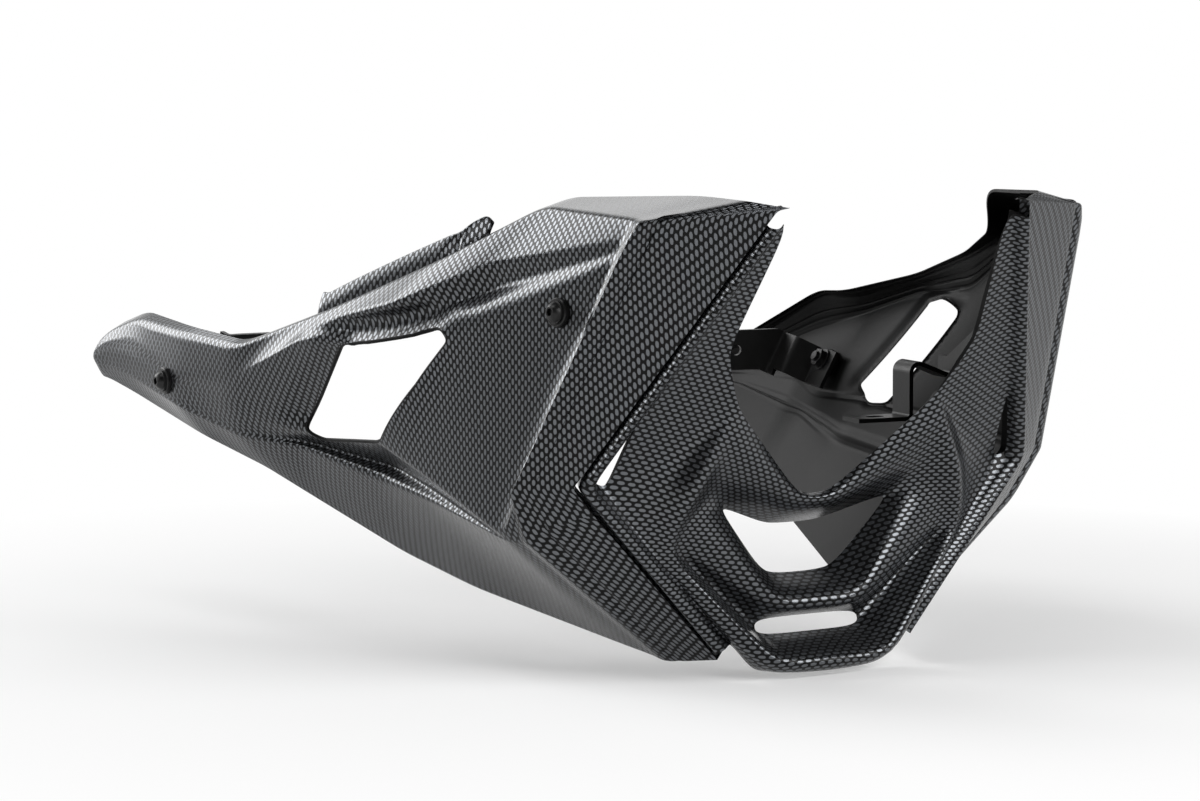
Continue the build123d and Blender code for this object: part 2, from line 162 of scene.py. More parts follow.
# Panel screws, as shares of the way along a face and down it
front_screw = {"along": 0.3, "down": 0.19}
right_rear_screw = {"along": 0.2, "down": 0.9}
left_rear_screw = {"along": 0.05, "down": 0.65}

# Film: silvery dots in staggered lines on a dark ground, under a clear coat
side_dots = {"long_axis": "up", "period": 5.9, "spacing": 2.6, "dot_length": 3.8, "dot_width": 1.8}
front_dots = {"long_axis": "across", "period": 5.6, "spacing": 2.55, "dot_length": 3.8, "dot_width": 1.75}
dot_power = 2.4
dot_scale = 0.5
dot_edge = (0.50, 0.82)
dot_colour = (0.140, 0.147, 0.157)
dot_metal = 0.92
dot_roughness = 0.29
ground_grey = 0.004
ground_metal = 0.0
ground_roughness = 0.33
blotch_noise = (900.0, 2.0)
blotch_share = 0.6
film_bump = (0.00012, 0.5)
film_constants = {
    "Specular IOR Level": 0.03,
    "Specular Tint": (0.4, 0.4, 0.4, 1.0),
    "Coat Weight": 1.0,
    "Coat IOR": 1.2,
    "Coat Roughness": 0.22,
}

# Plain dark surfaces: scale and detail of each noise, (noise, value) stops, height and strength of bumps
plastic_look = {
    "tone_noise": (22.0, 4.0),
    "tones": [(0.3, 0.003), (0.7, 0.005)],
    "grain_noise": (1600.0, 3.0),
    "roughness": [(0.3, 0.36), (0.7, 0.48)],
    "bump": (0.00006, 0.4),
    "constants": {"Specular IOR Level": 0.07},
}
powder_look = {
    "tone_noise": (45.0, 5.0),
    "tones": [(0.35, 0.007), (0.75, 0.012)],
    "grain_noise": (700.0, 2.0),
    "roughness": [(0.3, 0.30), (0.7, 0.42)],
    "bump": (0.0001, 0.35),
    "constants": {"Specular IOR Level": 0.12},
}
steel_look = {
    "tone_noise": (160.0, 2.0),
    "tones": [(0.3, 0.012), (0.7, 0.024)],
    "grain_noise": (1200.0, 3.0),
    "roughness": [(0.3, 0.28), (0.7, 0.42)],
    "bump": (0.00004, 0.3),
    "constants": {"Metallic": 0.6},
}

# Floor and backdrop, in metres
floor_gap = 0.0005
floor_reach = 60.0
backdrop_near = (-10.0, 22.0)
backdrop_far = (24.0, 0.0)
backdrop_top = 16.0
floor_noise = (3.0, 2.0)
floor_tones = [(0.0, 0.88), (1.0, 0.90)]

# Share of plain white in the floor, by the distance from its middle over this reach
white_reach = 2.0
white_shares = [(0.10, 0.25), (0.34, 1.0)]

# Grey patch of painted shade in the floor's glow, left of the picture, that the right panel's main face
# mirrors: middle, and grey by distance
painted_shade_middle = (-1.35, 0.95, 0.0)
painted_shade_greys = [(0.0, 0.45), (0.5, 0.62), (0.8, 0.9), (1.0, 1.0)]

# Lights: name, place, the point that each one faces, its size in metres and its power in watts
lights = [
    ("rear_left", (-0.90, 1.58, 0.93), (-0.17, -0.1, 0.18), (1.15, 1.45), 36.0),
    ("left", (-1.8, 0.3, 0.75), (0.0, -0.15, 0.15), (0.5, 0.5), 6.0),
    ("top", (-0.72, 0.0, 1.52), (0.0, -0.2, 0.1), (0.5, 0.5), 3.5),
    ("front", (0.46, -1.52, 0.90), (0.0, -0.2, 0.1), (1.9, 1.1), 32.0),
    ("rear_right", (0.93, 1.67, 1.28), (0.0, -0.1, 0.2), (1.2, 0.7), 2.6),
]
world_strength = 0.15

# Camera: place in metres, turn and dip in degrees, lens and sensor in millimetres
camera_place = (-1.479, -2.177, 0.395)
camera_turn = -34.0
camera_dip = 5.648
camera_lens = 135.0
camera_sensor = 36.0
camera_reach = 200.0

# Side panel sections: fold, shoulder, waist, sill, hem, flange width, groove depth, pocket depth
front_edge = [(85, -277, 262), (92, -268, 247), (155, -188, 111), (140, -187, 95), (62, -191, 11), 6, 0, 0]
crease = [(148, -247, 257), (152, -238, 240), (180, -172, 111), (163, -164, 82), (76, -166, 8), 54, 0, 0]
right_stations = [
    [(150, -153, 261), (181, -114, 196), (178, -66, 122), (165, -62, 90), (122, -40, 38), 26, 5, 6],
    [(175, -86, 229), (203, -50, 186), (180, -6, 126), (166, 0, 100), (138, 12, 54), 14, 6, 8],
    [(195, -4, 198), (207, 10, 178), (182, 50, 125), (178, 60, 115), (162, 75, 82), 10, 0, 0],
    [(208, 84, 170), (209, 95, 145), (200, 103, 131), (190, 110, 118), (176, 105, 97), 8, 0, 0],
    [(206, 154, 173), (208, 157, 150), (206, 159, 140), (204, 160, 130), (193, 150, 113), 8, 0, 0],
    [(199, 222, 177), (201, 224, 166), (202, 226, 155), (200, 228, 143), (197, 226, 132), 8, 0, 0],
    [(198, 258, 167), (200, 258, 161), (200, 259, 154), (199, 259, 147), (197, 258, 138), 7, 0, 0],
    [(198, 275, 158), (199, 276, 154), (199, 277, 149), (198, 277, 144), (196, 275, 139), 7, 0, 0],
]
left_stations = [
    [(150, -192, 258), (160, -190, 228), (180, -140, 114), (164, -130, 84), (90, -120, 18), 34, 0, 0],
    [(154, -172, 236), (163, -170, 222), (180, -125, 116), (165, -118, 85), (98, -105, 22), 16, 0, 0],
    [(164, -130, 222), (181, -114, 196), (178, -66, 122), (165, -62, 90), (122, -40, 38), 12, 0, 6],
    [(178, -62, 205), (203, -50, 186), (180, -6, 126), (166, 0, 100), (138, 12, 54), 12, 0, 8],
    [(194, 20, 189), (206, 24, 176), (184, 50, 125), (178, 60, 115), (160, 75, 76), 10, 0, 0],
    [(196, 58, 187), (206, 66, 164), (196, 82, 133), (186, 92, 115), (167, 92, 80), 9, 0, 0],
    [(194, 146, 148), (199, 147, 139), (197, 148, 131), (194, 148, 123), (188, 146, 114), 8, 0, 0],
    [(191, 182, 138), (194, 183, 134), (194, 184, 128), (193, 184, 122), (189, 182, 117), 7, 0, 0],
]
right_window = [(-114, 197), (-31, 183), (57, 118), (-28, 124), (-73.5, 160)]
left_window = [(-114, 197), (-70, 187), (4, 123), (-28, 125)]

# Right panel round its pocket: the tip of the pocket, then the first stations with its ridges
pocket_stations = [
    [(148.5, -224, 258), (159, -208, 229), (172, -146, 82), (169, -147, 78), (87, -135, 15), 47, 1.2, 0],
    [(150, -153, 261), (181, -114, 196), (177, -66, 111), (168, -62, 93), (122, -40, 38), 26, 5, 7],
    [(175, -86, 229), (203, -50, 186), (180, -26, 124), (169, -10, 104), (138, 12, 54), 14, 6, 12],
    [(195, -4, 198), (207, 10, 178), (182, 50, 122), (180, 55, 113), (162, 75, 82), 10, 0, 6],
]

# Lip: index of the station ahead of it, share of the way to the next one, its rise and its bulge
lip_places = [
    (0, 0.78, 9, 1), (0, 0.85, 15, 3), (0, 0.97, 15, 3), (1, 0.06, 12, -2), (1, 0.14, 13, 3),
    (1, 0.55, 13, 3), (2, 0.0, 12, 3), (2, 0.22, 10, 3), (2, 0.28, 12, 1),
]

# Front panel: feature points of the left half, as (half width, along, height)
front_points = {
    "arm_tip": (74, -269, 250),
    "arm_corner": (85, -232, 184),
    "elbow": (68, -218, 152),
    "slit_low": (132, -186, 108),
    "arm_foot": (108, -196, 117),
    "groove_top": (75, -214, 149),
    "groove_middle": (101, -201, 110),
    "groove_end": (111, -190, 78),
    "ridge_top": (71, -220, 149),
    "ridge_middle": (90, -217, 108),
    "ridge_end": (102, -201, 75),
    "vee_top_corner": (10, -195, 99), "vee_top_middle": (0, -195, 99),
    "vee_crest_end": (71, -220, 139),
    "vee_crest_corner": (12, -204, 98), "vee_crest_middle": (0, -204, 98),
    "vee_low_end": (75, -206, 117),
    "vee_low_corner": (15, -193, 88), "vee_low_middle": (0, -193, 88),
    "vee_under_end": (60, -188, 96),
    "vee_under_corner": (17, -174, 81), "vee_under_middle": (0, -174, 81),
    "mid_crest_end": (75, -197, 106),
    "mid_crest_corner": (29, -201, 44), "mid_crest_middle": (0, -202, 44),
    "mid_swell_end": (84, -200, 95),
    "mid_swell_corner": (28.5, -204, 39), "mid_swell_middle": (0, -204, 39),
    "mid_rear_corner": (23, -180, 54), "mid_rear_middle": (0, -180, 54),
    "mid_low_end": (97, -195, 79),
    "mid_low_corner": (28, -200, 34), "mid_low_middle": (0, -200, 34),
    "slot_end": (88, -186, 73),
    "slot_top_corner": (38, -188, 31), "slot_top_middle": (0, -188, 31),
    "slot_low_corner": (38, -190, 22), "slot_low_middle": (0, -190, 22),
    "chin_crest_corner": (37, -220, 10), "chin_crest_middle": (0, -221, 10),
    "chin_low_corner": (47, -210, 1), "chin_low_middle": (0, -213, 0),
    "chin_under_corner": (44, -199, 3), "chin_under_middle": (0, -201, 2),
}

# Stops of the rim: two rows of the side panel's front edge, and a share of the way between them
rim_stops = {
    "tip": (fold_row, waist_row, 0.06),
    "slit": (fold_row, waist_row, 0.76),
    "bend": (fold_row, waist_row, 1.0),
    "low": (waist_row, hem_row, 0.29),
    "foot": (waist_row, hem_row, 0.94),
}
rim_rows = ["heel", "edge", "crown", "lip", "valley"]
front_facets = [
    "arm_tip arm_corner rim_slit_valley rim_tip_valley",
    "arm_corner arm_foot slit_low rim_slit_valley",
    "arm_corner elbow groove_top arm_foot",
    "elbow ridge_top groove_top",
    "groove_top groove_middle arm_foot",
    "arm_foot groove_middle groove_end slit_low",
    "slit_low groove_end rim_low_valley rim_bend_valley",
    "ridge_top ridge_middle groove_middle groove_top",
    "ridge_middle ridge_end groove_end groove_middle",
    "elbow vee_crest_end vee_low_end ridge_middle ridge_top",
    "vee_top_corner vee_crest_corner vee_crest_end elbow",
    "vee_top_middle vee_crest_middle vee_crest_corner vee_top_corner",
    "vee_crest_corner vee_low_corner vee_low_end vee_crest_end",
    "vee_crest_middle vee_low_middle vee_low_corner vee_crest_corner",
    "vee_low_corner vee_under_corner vee_under_end vee_low_end",
    "vee_low_middle vee_under_middle vee_under_corner vee_low_corner",
    "vee_low_end mid_crest_end ridge_middle",
    "vee_low_end vee_under_end mid_crest_end",
    "mid_rear_corner mid_crest_corner mid_crest_end vee_under_end",
    "mid_rear_middle mid_crest_middle mid_crest_corner mid_rear_corner",
    "mid_crest_corner mid_swell_corner mid_swell_end mid_crest_end",
    "mid_crest_middle mid_swell_middle mid_swell_corner mid_crest_corner",
    "mid_swell_corner mid_low_corner mid_low_end mid_swell_end",
    "mid_swell_middle mid_low_middle mid_low_corner mid_swell_corner",
    "mid_crest_end mid_swell_end mid_low_end ridge_end ridge_middle",
    "mid_low_corner slot_top_corner slot_end mid_low_end",
    "mid_low_middle slot_top_middle slot_top_corner mid_low_corner",
    "mid_low_end slot_end ridge_end",
    "slot_top_corner slot_low_corner slot_end",
    "slot_low_corner chin_crest_corner ridge_end slot_end",
    "slot_low_middle chin_crest_middle chin_crest_corner slot_low_corner",
    "chin_crest_corner chin_low_corner groove_end ridge_end",
    "chin_low_corner rim_foot_valley rim_low_valley groove_end",
    "chin_crest_middle chin_low_middle chin_low_corner chin_crest_corner",
    "chin_low_middle chin_under_middle chin_under_corner chin_low_corner",
    "chin_low_corner chin_under_corner rim_foot_valley",
]


def unit(vector):
    """The vector, or each vector of an array, at length one."""
    size = np.linalg.norm(vector, axis=-1, keepdims=True)
    return vector / np.maximum(size, tiny)


def between(start, end, share):
    """The point at a share of the way between two points."""
    return start + (end - start) * share


def panel_rows(station, raised=0.0):
    """Nine outer points of a side panel section in one plane, from the flange's edge down to the hem."""
    fold, shoulder, waist, sill, hem = (np.array(point, float) for point in station[:5])
    flange, groove_depth, pocket_depth = station[5:]
    normal = unit(np.cross(waist - fold, hem - fold))
    inward = unit(np.array([-normal[1], normal[0], 0.0]))
    inward *= -np.sign(inward[0])
    ridge = between(fold, shoulder, ridge_share) - inward * groove_depth * ridge_proud
    groove = between(fold, shoulder, groove_share) + inward * groove_depth * groove_deeper
    pocket = between(waist, sill, pocket_share) + inward * pocket_depth
    rows = np.array([fold + inward * flange, fold, ridge, groove, shoulder, waist, pocket, sill, hem])
    rows -= np.outer((rows - fold) @ normal, normal)
    lift = np.cross(normal, inward)
    rows[0] += lift * np.sign(lift[2]) * (flange * flange_rise + raised)
    return rows


def seat(front, rear, along, down):
    """Origin and axes (to the rear, up the face, outwards) on the face between two pairs of points."""
    upper = between(front[0], rear[0], along)
    lower = between(front[1], rear[1], along)
    rearward = unit(between(rear[0], rear[1], down) - between(front[0], front[1], down))
    outward = unit(np.cross(rearward, upper - lower))
    return between(upper, lower, down), np.array([rearward, np.cross(outward, rearward), outward])


def face_edges(station, upper=shoulder_row, lower=waist_row):
    """Upper and lower edge of one face of a section, by default its main face."""
    return panel_rows(station)[[upper, lower]]


def bent_line(knots, values, places):
    """Values at places along a line that is straight between knots and bent softly at each of them."""

    def on_line(spots):
        """Values on the straight stretches."""
        return np.stack([np.interp(spots, knots, column) for column in values.T], axis=1)

    line = on_line(places)
    gaps = np.diff(knots)
    for k in range(1, len(knots) - 1):
        reach = min(station_round, station_limit * gaps[k - 1], station_limit * gaps[k])
        bent = np.abs(places - knots[k]) < reach
        share = ((places[bent] - knots[k]) / reach + 1)[:, None] / 2
        start, end = on_line(np.array([knots[k] - reach, knots[k] + reach]))
        line[bent] = (1 - share) ** 2 * start + 2 * share * (1 - share) * values[k] + share**2 * end
    return line


def distance_along(points, axis=0):
    """Distance of each point from the first one, along one axis of a grid."""
    steps = np.linalg.norm(np.diff(points, axis=axis), axis=-1)
    return np.insert(np.cumsum(steps, axis=axis), 0, 0, axis=axis)


def bezier(start, corner, end, steps):
    """Points of a rounded corner, without its start."""
    shares = np.arange(1, steps + 1) / steps
    return [(1 - s) ** 2 * start + 2 * s * (1 - s) * corner + s**2 * end for s in shares]


def straight(start, end, steps):
    """Points of a straight line, without its start."""
    return [between(start, end, s) for s in np.arange(1, steps + 1) / steps]


def row_lines(stations, raised):
    """The nine rows along a side panel, with the bead on its crease, and the index of the crease."""
    sections = [panel_rows(station, raised) for station in stations]
    rows = np.array([panel_rows(front_edge), panel_rows(crease), *sections])
    if raised:
        for k, share in flange_shift_shares.items():
            rows[k, 0] += np.array(flange_shift) * share
    body = rows[1:]
    knots = distance_along(body).mean(axis=1)
    fine_steps = int((crease_fine - crease_round) / fine_cell)
    places = np.concatenate([
        np.linspace(crease_round, crease_fine, fine_steps, endpoint=False),
        np.linspace(crease_fine, knots[-1], int((knots[-1] - crease_fine) / cell)),
    ])
    rear = bent_line(knots, body.reshape(len(body), -1), places).reshape(-1, *body.shape[1:])
    reach = np.linalg.norm(rows[1] - rows[0], axis=1, keepdims=True)
    turn = between(rows[1], rows[0], crease_round / reach)
    slow = between(rows[1], rows[0], crease_fine / reach)
    forward = unit(rows[0] - rows[1])
    down = np.gradient(rows[0], axis=0)
    outward = unit(np.cross(forward, down))
    band = [
        rows[0] + forward * seam_gap * turn_in_share - outward * turn_in,
        rows[0],
        *straight(rows[0], slow, int((reach.max() - crease_fine) / cell)),
        *straight(slow, turn, fine_steps),
    ]
    corner = bezier(turn, rows[1], rear[0], bezier_steps)
    lines = np.array([*band, *corner, *rear[1:]])
    crease_row = len(band) + bezier_steps // 2 - 1
    return beaded(rounded_end(lines), crease_row), crease_row


def beaded(lines, crease_row):
    """The rows with a bead behind the crease and a groove in front of it."""
    away = distance_along(lines)
    away -= away[crease_row]
    corner = lines[crease_row]
    ahead = lines[np.argmin(np.abs(away[:, shoulder_row] + crease_fine))]
    behind = lines[np.argmin(np.abs(away[:, shoulder_row] - crease_fine))]
    outward = -unit(unit(ahead - corner) + unit(behind - corner))
    bead = bead_height * np.exp(-(((away - bead_place) / bead_width) ** 2))
    bead -= bead_groove * np.exp(-(((away - bead_groove_place) / bead_groove_width) ** 2))
    bead *= bead_fade
    return lines + bead[..., None] * outward


def rounded_end(lines):
    """The rows drawn together at the rear end, so that it is round."""
    centre = lines[:, [shoulder_row, waist_row]].mean(axis=1, keepdims=True)
    to_end = np.linalg.norm(centre - centre[-1], axis=2, keepdims=True)
    closing = np.clip(1 - to_end / end_round, 0, 1)
    return centre + (lines - centre) * np.sqrt(1 - (closing * end_closing) ** 2)


def rounded_rows(lines):
    """A dense grid over the rows with each row rounded, and the column of the waist."""
    gaps = np.maximum(np.linalg.norm(np.diff(lines, axis=1), axis=2), small)[..., None]
    leave = lines[:, 0]
    columns = [leave]
    waist_column = 0
    for k, (name, size) in enumerate(row_round.items(), start=1):
        corner = lines[:, k]
        reach = np.minimum(size, row_limit * np.minimum(gaps[:, k - 1], gaps[:, k]))
        enter = corner + (lines[:, k - 1] - corner) / gaps[:, k - 1] * reach
        after = corner + (lines[:, k + 1] - corner) / gaps[:, k] * reach
        columns += straight(leave, enter, max(2, int(gaps[:, k - 1].max() / cell)))
        if name == "waist":
            waist_column = len(columns)
        columns += bezier(enter, corner, after, bezier_steps)
        leave = after
    columns += straight(leave, lines[:, -1], max(2, int(gaps[:, -1].max() / cell)))
    return np.stack(columns, axis=1), waist_column


def film_coordinates(grid, crease_row, waist_column):
    """Place of the film on the grid: distance round the panel from the crease, height up its section."""
    around = distance_along(grid[..., :2])
    around += grid[crease_row, :, 1] - around[crease_row]
    down = distance_along(grid, axis=1)
    down -= down[:, [waist_column]]
    height = grid[:, [waist_column], 2] - down
    return np.stack([around, height], axis=2)


def window_distance(points, window):
    """Distance of (along, height) points from the rounded outline of a window, negative inside it.

    Lengths along the panel are shortened, which draws the round corners out along it.
    """
    points = points * window_scale
    corners = np.array(window, float) * window_scale
    middle = corners.mean(axis=0)
    sides = np.roll(corners, -1, axis=0) - corners
    normals = unit(np.stack([-sides[:, 1], sides[:, 0]], axis=1))
    normals *= np.sign(np.sum((corners - middle) * normals, axis=1))[:, None]
    levels = np.sum(corners * normals, axis=1) - window_radius
    pairs = [[k - 1, k] for k in range(len(corners))]
    inset = np.array([np.linalg.solve(normals[pair], levels[pair]) for pair in pairs])
    nearest = np.full(len(points), np.inf)
    deepest = np.full(len(points), -np.inf)
    for k in range(len(inset)):
        start, end = inset[k], inset[(k + 1) % len(inset)]
        side = end - start
        share = np.clip((points - start) @ side / (side @ side), 0, 1)
        nearest = np.minimum(nearest, np.linalg.norm(points - start - share[:, None] * side, axis=1))
        deepest = np.maximum(deepest, points @ normals[k] - levels[k])
    return np.where(deepest > 0, nearest, deepest) - window_radius


def window_slope(points, window):
    """Direction away from a window, at (along, height) points."""
    slope = np.zeros_like(points)
    for axis in (0, 1):
        step = np.zeros(2)
        step[axis] = window_nudge
        slope[:, axis] = window_distance(points + step, window) - window_distance(points - step, window)
    return unit(slope)


def recessed(points, normals, window):
    """The points with the panel drawn in towards the upper and rear edges of its window."""
    distance = window_distance(points[:, 1:], window)
    near = np.clip(1 - distance / recess_width, 0, 1)
    facing = np.clip(window_slope(points[:, 1:], window) @ np.array(recess_side), 0, 1)
    draw = recess_depth * near**2 * (3 - 2 * near) * facing**2
    return points - normals * draw[:, None]


def vertex_normals(points, faces):
    """Mean outward normal at each point."""
    normals = np.zeros_like(points)
    for face in faces:
        a, b, c = points[face[0]], points[face[1]], points[face[-1]]
        normals[face] += np.cross(b - a, c - a)
    return unit(normals)


def with_window(points, film, faces, window):
    """The panel's mesh with its window cut and the window's edge rounded, and that edge's face count."""
    distance = window_distance(points[:, 1:], window) - window_turn
    points = recessed(points, vertex_normals(points, faces), window)
    normals = vertex_normals(points, faces)
    points, film, normals = list(points), list(film), list(normals)
    cuts = {}

    def cut(a, b):
        """The point where the edge from a to b meets the window."""
        key = (min(a, b), max(a, b))
        if key not in cuts:
            share = distance[a] / (distance[a] - distance[b])
            cuts[key] = len(points)
            for values in (points, film, normals):
                values.append(between(values[a], values[b], share))
        return cuts[key]

    kept = []
    rim = []
    for face in faces:
        inside = distance[face] < 0
        if inside.all():
            continue
        if not inside.any():
            kept.append(face)
            continue
        ring = []
        for a, b in zip(face, face[1:] + face[:1]):
            if distance[a] >= 0:
                ring.append(a)
            if (distance[a] < 0) != (distance[b] < 0):
                ring.append(cut(a, b))
        kept.append(ring)
        edge = [point for point in ring if point >= len(distance)]
        if len(edge) == 2:
            a, b = edge
            rim.append((a, b) if ring[(ring.index(a) + 1) % len(ring)] == b else (b, a))
    plain = len(kept)
    turned_rim(points, film, normals, kept, rim, window)
    return np.array(points), np.array(film), kept, len(kept) - plain


def turned_rim(points, film, normals, faces, rim, window):
    """Adds the strip that turns from the panel's face into the window."""
    members = sorted({point for pair in rim for point in pair})
    spots = np.array([points[point] for point in members])
    outward = unit(np.array([normals[point] for point in members]))
    slope = np.zeros_like(spots)
    slope[:, 1:] = -window_slope(spots[:, 1:], window)
    slope -= np.sum(slope * outward, axis=1, keepdims=True) * outward
    to_window = unit(slope)
    previous = dict(zip(members, members))
    for angle in window_turn_angles:
        ahead = window_turn * math.sin(math.radians(angle))
        deep = window_turn * (1 - math.cos(math.radians(angle)))
        current = {}
        for point, place in zip(members, spots + to_window * ahead - outward * deep):
            current[point] = len(points)
            points.append(place)
            film.append(film[point])
        for a, b in rim:
            faces.append([previous[b], previous[a], current[a], current[b]])
        previous = current


def grid_faces(rows, columns):
    """Faces of a grid of points, as lists of point numbers."""
    numbers = np.arange(rows * columns).reshape(rows, columns)
    corners = (numbers[:-1, :-1], numbers[:-1, 1:], numbers[1:, 1:], numbers[1:, :-1])
    return np.stack(corners, axis=-1).reshape(-1, 4).tolist()


def mirrored(points, faces):
    """The same mesh on the other side of the middle plane."""
    return points * [-1, 1, 1], [face[::-1] for face in faces]


def loop_points(mesh):
    """Number of the point at each corner of each face."""
    numbers = np.empty(len(mesh.loops), int)
    mesh.loops.foreach_get("vertex_index", numbers)
    return numbers


def new_piece(name, points, faces, materials, film=None):
    """A smooth mesh object from points in millimetres."""
    mesh = bpy.data.meshes.new(name)
    mesh.from_pydata((np.asarray(points) * MM).tolist(), [], faces)
    if film is not None:
        layer = mesh.uv_layers.new(name="film")
        layer.data.foreach_set("uv", (np.asarray(film)[loop_points(mesh)] * MM).ravel())
    mesh.shade_smooth()
    for material in materials:
        mesh.materials.append(material)
    piece = bpy.data.objects.new(name, mesh)
    bpy.context.collection.objects.link(piece)
    return piece


def thicken(piece):
    """Gives a panel its wall, plain on the inside, with rounded edges."""
    solid = piece.modifiers.new("wall", "SOLIDIFY")
    solid.thickness = wall * MM
    solid.offset = -1
    solid.use_even_offset = True
    solid.thickness_clamp = 1.0
    solid.material_offset = 1
    solid.material_offset_rim = 1
    round_edges(piece, edge_round, panel_edge_angle)


def round_edges(piece, size, angle, steps=panel_edge_steps):
    """Rounds the edges of a piece that are sharper than an angle."""
    bevel = piece.modifiers.new("edges", "BEVEL")
    bevel.limit_method = "ANGLE"
    bevel.angle_limit = math.radians(angle)
    bevel.width = size * MM
    bevel.segments = steps
    weighted = piece.modifiers.new("normals", "WEIGHTED_NORMAL")
    weighted.keep_sharp = True


def side_panel(name, stations, window, flip, materials):
    """One side panel with its window."""
    lines, crease_row = row_lines(stations, flange_lift if flip else 0.0)
    grid, waist_column = rounded_rows(lines)
    film = film_coordinates(grid, crease_row, waist_column).reshape(-1, 2)
    faces = grid_faces(*grid.shape[:2])
    points, film, faces, edge_faces = with_window(grid.reshape(-1, 3), film, faces, window)
    if flip:
        points, faces = mirrored(points, faces)
    piece = new_piece(name, points, faces, materials, film)
    plain = np.zeros(len(faces), np.int32)
    plain[len(faces) - edge_faces :] = 1
    piece.data.polygons.foreach_set("material_index", plain)
    thicken(piece)
    return piece


def rim_points(name, upper, lower, share):
    """Channel section of the front panel's rim at one stop on the side panel's front edge."""
    front = face_edges(front_edge, upper, lower)
    rear = face_edges(crease, upper, lower)
    edge = between(front[0], front[1], share)
    forward = unit(edge - between(rear[0], rear[1], share))
    outward = seat(front, rear, 0, share)[1][2]
    start = edge + forward * seam_gap
    end = start + forward * rim_width
    crown = start + forward * rim_width / 2 + outward * rim_crown
    section = [start - outward * rim_depth, start, crown, end, end - outward * rim_valley]
    return {f"rim_{name}_{row}": point for row, point in zip(rim_rows, section)}


def front_net():
    """Points and faces of the whole front panel, and which faces belong to its rim."""
    net = {name: np.array(point, float) for name, point in front_points.items()}
    for name, stop in rim_stops.items():
        net |= rim_points(name, *stop)
    facets = [facet.split() for facet in front_facets]
    plain = len(facets)
    stops = list(rim_stops)
    for upper, lower in zip(stops, stops[1:]):
        for outer, inner in zip(rim_rows, rim_rows[1:]):
            corners = (upper, outer), (upper, inner), (lower, inner), (lower, outer)
            facets.append([f"rim_{stop}_{row}" for stop, row in corners])
    names = list(net)
    number = {name: k for k, name in enumerate(names)}
    points = [net[name] for name in names]
    twin = {}
    for name in names:
        twin[name] = number[name]
        if net[name][0] > 0:
            twin[name] = len(points)
            points.append(net[name] * [-1, 1, 1])
    faces = [[number[name] for name in facet] for facet in facets]
    faces += [[twin[name] for name in facet[::-1]] for facet in facets]
    in_rim = [k >= plain for k in range(len(facets))] * 2
    return np.array(points), faces, in_rim


def split_net(points, faces, in_rim):
    """The net with each face split into many, and the rounding that each point gets."""
    mesh = bpy.data.meshes.new("net")
    mesh.from_pydata(points.tolist(), [], faces)
    mesh.materials.append(None)
    mesh.materials.append(None)
    mesh.polygons.foreach_set("material_index", np.array(in_rim, np.int32))
    holder = bpy.data.objects.new("net", mesh)
    bpy.context.collection.objects.link(holder)
    split = holder.modifiers.new("split", "SUBSURF")
    split.subdivision_type = "SIMPLE"
    split.levels = net_levels
    fine = holder.evaluated_get(bpy.context.evaluated_depsgraph_get()).to_mesh()
    fine_points = np.array([vertex.co[:] for vertex in fine.vertices])
    fine_faces = [list(polygon.vertices) for polygon in fine.polygons]
    rounding = np.full(len(fine_points), front_round)
    for polygon in fine.polygons:
        if polygon.material_index:
            rounding[list(polygon.vertices)] = rim_round
    bpy.data.objects.remove(holder)
    return fine_points, fine_faces, rounding


def faired(points, faces, rounding):
    """The surface with its creases rounded; its outer edges are rounded along themselves."""
    quads = np.array(faces)
    # Both diagonals split each face, so each triangle's cotangents and area count half
    halves = ([0, 1, 2], [0, 2, 3], [0, 1, 3], [1, 2, 3])
    triangles = np.vstack([quads[:, half] for half in halves])
    area = np.zeros(len(points))
    starts, ends, weights = [], [], []
    for k in range(3):
        a, b, c = np.roll(triangles, -k, axis=1).T
        to_a, to_b = points[a] - points[c], points[b] - points[c]
        across = np.maximum(np.linalg.norm(np.cross(to_a, to_b), axis=1), small)
        weight = np.clip(np.sum(to_a * to_b, axis=1) / across, 0, weight_limit) / 4
        area += np.bincount(a, across / 12, len(points))
        starts += [a, b]
        ends += [b, a]
        weights += [weight, weight]
    starts, ends, weights = (np.concatenate(values) for values in (starts, ends, weights))
    sides = np.sort(np.vstack([quads[:, [k, (k + 1) % 4]] for k in range(4)]), axis=1)
    sides, uses = np.unique(sides, axis=0, return_counts=True)
    rim = sides[uses == 1]
    fixed = np.zeros(len(points), bool)
    fixed[rim] = True
    gaps = np.linalg.norm(points[rim[:, 0]] - points[rim[:, 1]], axis=1)
    length = np.bincount(rim.ravel(), np.repeat(gaps / 2, 2), len(points))
    rim_starts = np.concatenate([rim[:, 0], rim[:, 1]])
    rim_ends = np.concatenate([rim[:, 1], rim[:, 0]])
    rim_weights = np.tile(1 / gaps, 2)
    edges = relaxed(points, points, length, rim_starts, rim_ends, rim_weights, rounding, ~fixed)
    return relaxed(points, edges, area, starts, ends, weights, rounding, fixed)


def relaxed(target, start, mass, starts, ends, weights, rounding, fixed):
    """Points drawn both to their own place and to the mean of their neighbours."""
    count = len(target)
    scale = rounding**2
    total = np.bincount(starts, weights, count) * scale + mass + tiny
    current = start.copy()
    for _ in range(fairing_steps):
        pulls = [np.bincount(starts, weights * column[ends], count) for column in current.T]
        pulled = np.stack(pulls, axis=1)
        wanted = (pulled * scale[:, None] + target * mass[:, None]) / total[:, None]
        current = np.where(fixed[:, None], current, wanted)
    return current


